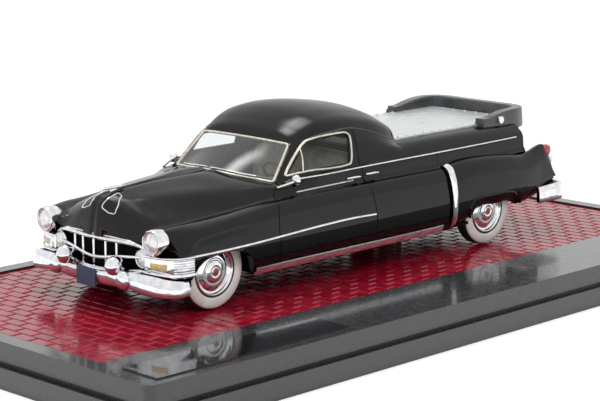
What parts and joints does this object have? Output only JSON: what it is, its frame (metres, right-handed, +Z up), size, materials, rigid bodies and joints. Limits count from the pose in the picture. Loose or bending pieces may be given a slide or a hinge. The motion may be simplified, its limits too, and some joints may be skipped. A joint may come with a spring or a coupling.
{
  "type": "scale model flower car on a display plinth",
  "caption": "Scale model of an early 1950s open-deck flower car with turning axles, screwed to a two-tier display plinth with a red paving inset.",
  "frame": {"origin": "middle of the plinth's underside", "axes": "+X towards the car's nose, +Y to the car's left, +Z up"},
  "size_m": [0.2046, 0.1032, 0.0484],
  "materials": {
    "body_paint": "gloss black lacquer on resin",
    "chrome": "polished chrome",
    "window_frame": "satin silver cream",
    "glass": "clear",
    "lens": "clear, fluted",
    "amber_lens": "gloss",
    "red_lens": "gloss",
    "deck_metal": "brushed",
    "black_satin": "satin",
    "grille_dark": "matt",
    "upholstery": "satin",
    "interior": "matt",
    "plate": "satin",
    "tyre": "matt, with a pale band on the outer side",
    "steel": "plain",
    "plinth_plastic": "satin",
    "paving_red": "gloss, moulded setts",
    "label_metal": "bright, blank"
  },
  "bodies": {
    "display_model": {"belt_trims": "chrome", "bench_seat": "upholstery", "body_shell": "body_paint", "bonnet_ornament": "chrome", "cabin_floor": "interior", "chassis_plate": "black_satin", "dashboard": "interior", "deck_panel": "deck_metal", "deck_rail": "black_satin", "deck_studs": "chrome", "door_glass_left": "glass", "door_glass_right": "glass", "door_handles": "chrome", "door_strips": "chrome", "door_window_frames": "window_frame", "fender_side_panels": "chrome", "fog_lamps": "chrome", "front_bumper": "chrome", "grille": "chrome", "grille_backing": "grille_dark", "headlamp_lenses": "lens", "headlamp_rims": "chrome", "label_plate": "label_metal", "lamp_bars": "chrome", "mirrors": "chrome", "mounting_pillars": "black_satin", "mounting_screws": "steel", "number_plate_front": "plate", "number_plate_rear": "plate", "parking_lamps": "amber_lens", "paving": "paving_red", "plinth": "plinth_plastic", "rail_brackets": "black_satin", "rail_lamps": "chrome", "rear_bumper": "chrome", "rear_glass": "glass", "reversing_lamps": "lens", "rocker_strips": "chrome", "side_spears": "chrome", "steering_wheel": "interior", "stone_guards": "chrome", "tail_lamps": "red_lens", "windscreen_frame": "window_frame", "windscreen_glass": "glass", "wipers": "chrome"},
    "front_axle_set": {"front_axle": "steel", "front_wheels": "chrome", "front_tyres": "tyre"},
    "rear_axle_set": {"rear_axle": "steel", "rear_wheels": "chrome", "rear_tyres": "tyre"}
  },
  "joints": [
    {"name": "front_axle_spin", "type": "hinge", "parent": "display_model", "child": "front_axle_set", "pos_m": [0.0515, -0.0045, 0.01782], "axis": [0, 1, 0], "continuous": true},
    {"name": "rear_axle_spin", "type": "hinge", "parent": "display_model", "child": "rear_axle_set", "pos_m": [-0.04124, -0.0045, 0.01782], "axis": [0, 1, 0], "continuous": true}
  ]
}
